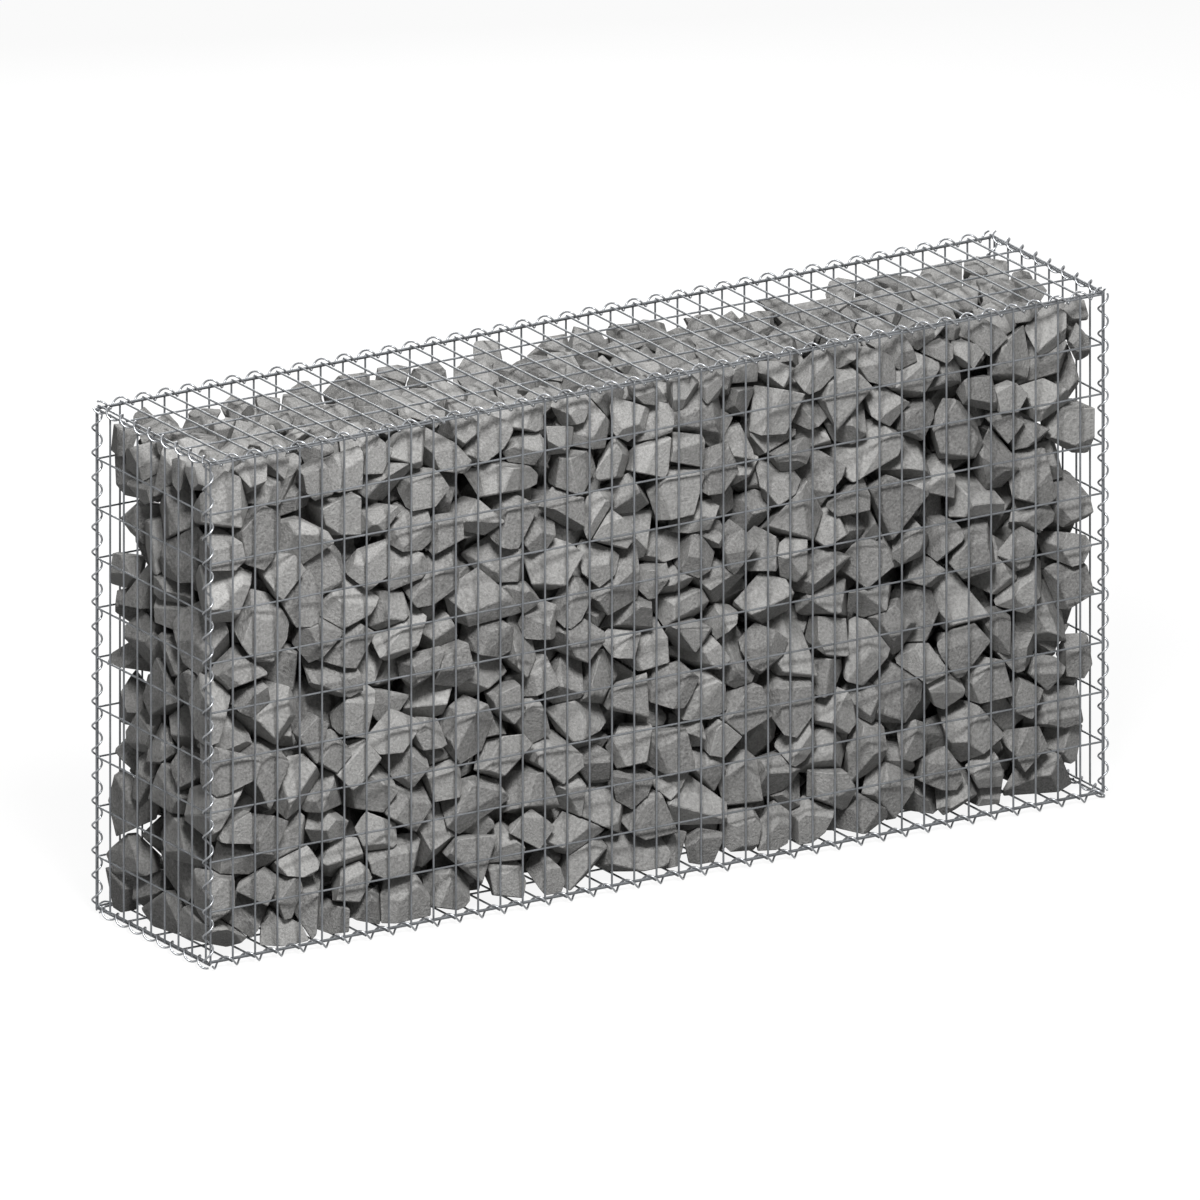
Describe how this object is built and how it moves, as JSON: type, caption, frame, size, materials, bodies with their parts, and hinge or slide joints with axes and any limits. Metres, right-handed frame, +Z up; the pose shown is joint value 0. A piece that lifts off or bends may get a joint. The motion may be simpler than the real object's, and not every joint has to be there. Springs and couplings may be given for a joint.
{
  "type": "gabion wall",
  "caption": "Free-standing stone-filled wire basket wall: welded galvanised mesh panels laced along every edge with spiral binders, filled with angular broken rock",
  "frame": {"origin": "on the ground, under the middle of the basket", "axes": "+X along the wall's length, +Y from the front face to the back, +Z up"},
  "size_m": [2.0331, 0.4339, 1.034],
  "materials": {
    "galvanised_mesh": "satin",
    "galvanised_spiral": "satin",
    "broken_stone": "matte"
  },
  "bodies": {
    "root": {"front_panel": "galvanised_mesh", "back_panel": "galvanised_mesh", "left_end_panel": "galvanised_mesh", "right_end_panel": "galvanised_mesh", "base_panel": "galvanised_mesh", "lid_panel": "galvanised_mesh", "spiral_front_left": "galvanised_spiral", "spiral_front_right": "galvanised_spiral", "spiral_back_left": "galvanised_spiral", "spiral_back_right": "galvanised_spiral", "spiral_front_top": "galvanised_spiral", "spiral_back_top": "galvanised_spiral", "spiral_front_bottom": "galvanised_spiral", "spiral_back_bottom": "galvanised_spiral", "spiral_left_top": "galvanised_spiral", "spiral_right_top": "galvanised_spiral", "spiral_left_bottom": "galvanised_spiral", "spiral_right_bottom": "galvanised_spiral", "fill_lift_lower": "broken_stone", "fill_lift_middle": "broken_stone", "fill_lift_upper": "broken_stone"}
  },
  "joints": []
}
